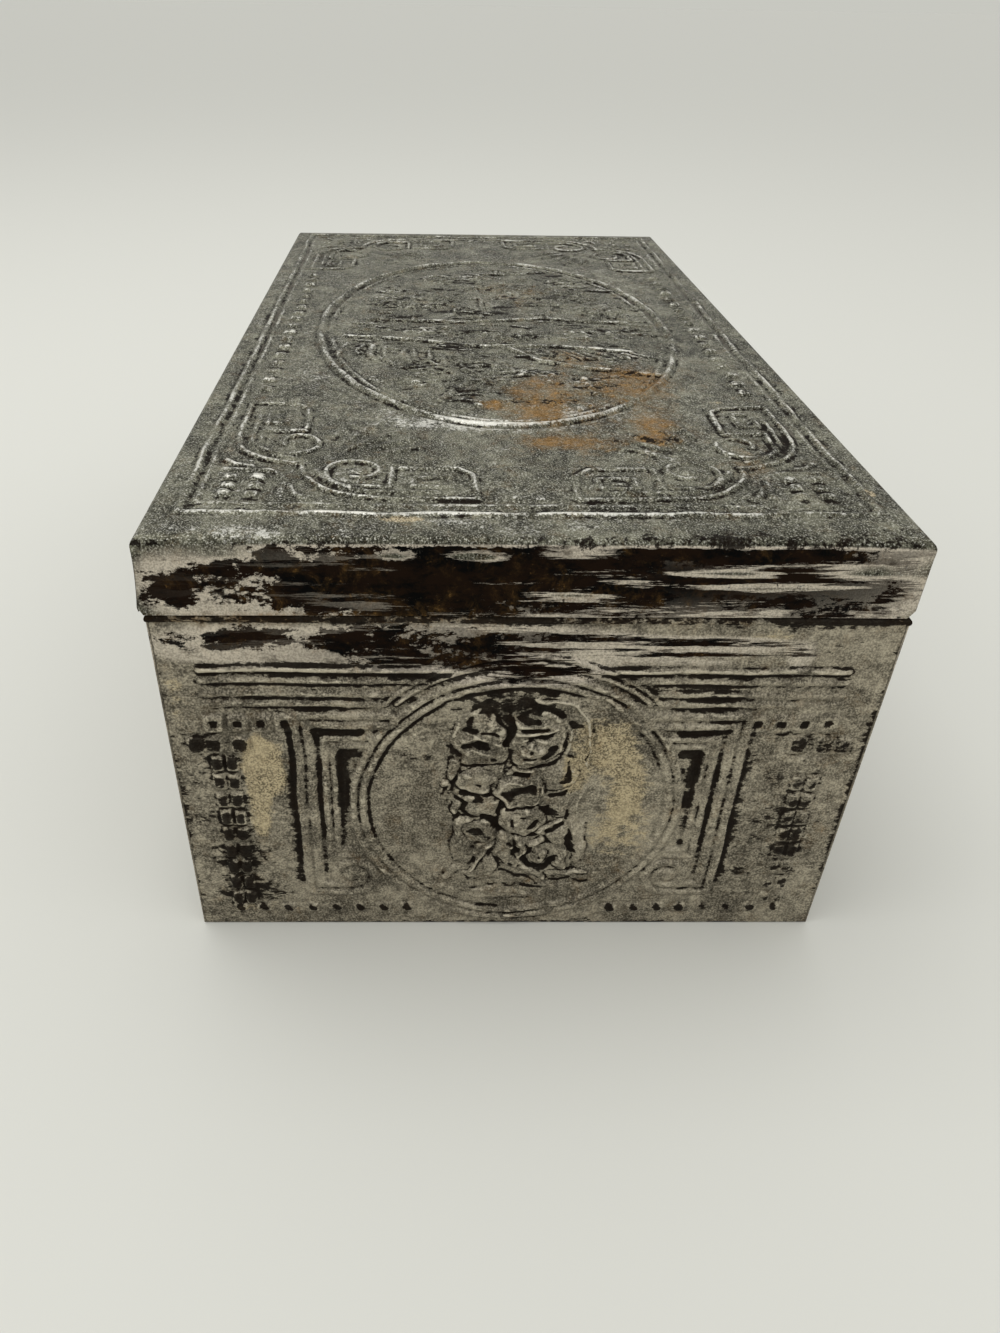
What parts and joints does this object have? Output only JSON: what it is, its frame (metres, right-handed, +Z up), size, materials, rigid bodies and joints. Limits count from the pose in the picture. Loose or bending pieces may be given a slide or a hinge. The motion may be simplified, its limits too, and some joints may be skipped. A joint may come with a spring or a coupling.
{
  "type": "hinged metal box",
  "caption": "Long low box of thin embossed sheet metal with a wired rim and a flat lid that swings on the rim wire.",
  "frame": {"origin": "middle of the underside", "axes": "+X along the box towards the end that the picture shows, +Y towards the hinge, +Z up"},
  "size_m": [0.2246, 0.1214, 0.0858],
  "materials": {
    "lid_plate": "worn silver plate gone dull grey, with rust spots",
    "wall_plate": "tarnished silver plate, dark in the hollows",
    "bottom_plate": "dull bare tinplate",
    "rim_wire": "rusty iron wire",
    "hinge": "dull tinplate with rust"
  },
  "bodies": {
    "body": {"bottom_plate": "bottom_plate", "end_panel_near": "wall_plate", "end_panel_far": "wall_plate", "side_panel_front": "wall_plate", "side_panel_back": "wall_plate", "rim_wire": "rim_wire"},
    "lid": {"lid_shell": "lid_plate", "hinge_strap_near": "hinge", "hinge_strap_far": "hinge", "hinge_rivet_1": "hinge", "hinge_rivet_2": "hinge", "hinge_rivet_3": "hinge", "hinge_rivet_4": "hinge"}
  },
  "joints": [
    {"name": "lid_hinge", "type": "hinge", "parent": "body", "child": "lid", "pos_m": [0, 0.05944, 0.07089], "axis": [-1, 0, 0], "range_deg": [0, 105]}
  ]
}
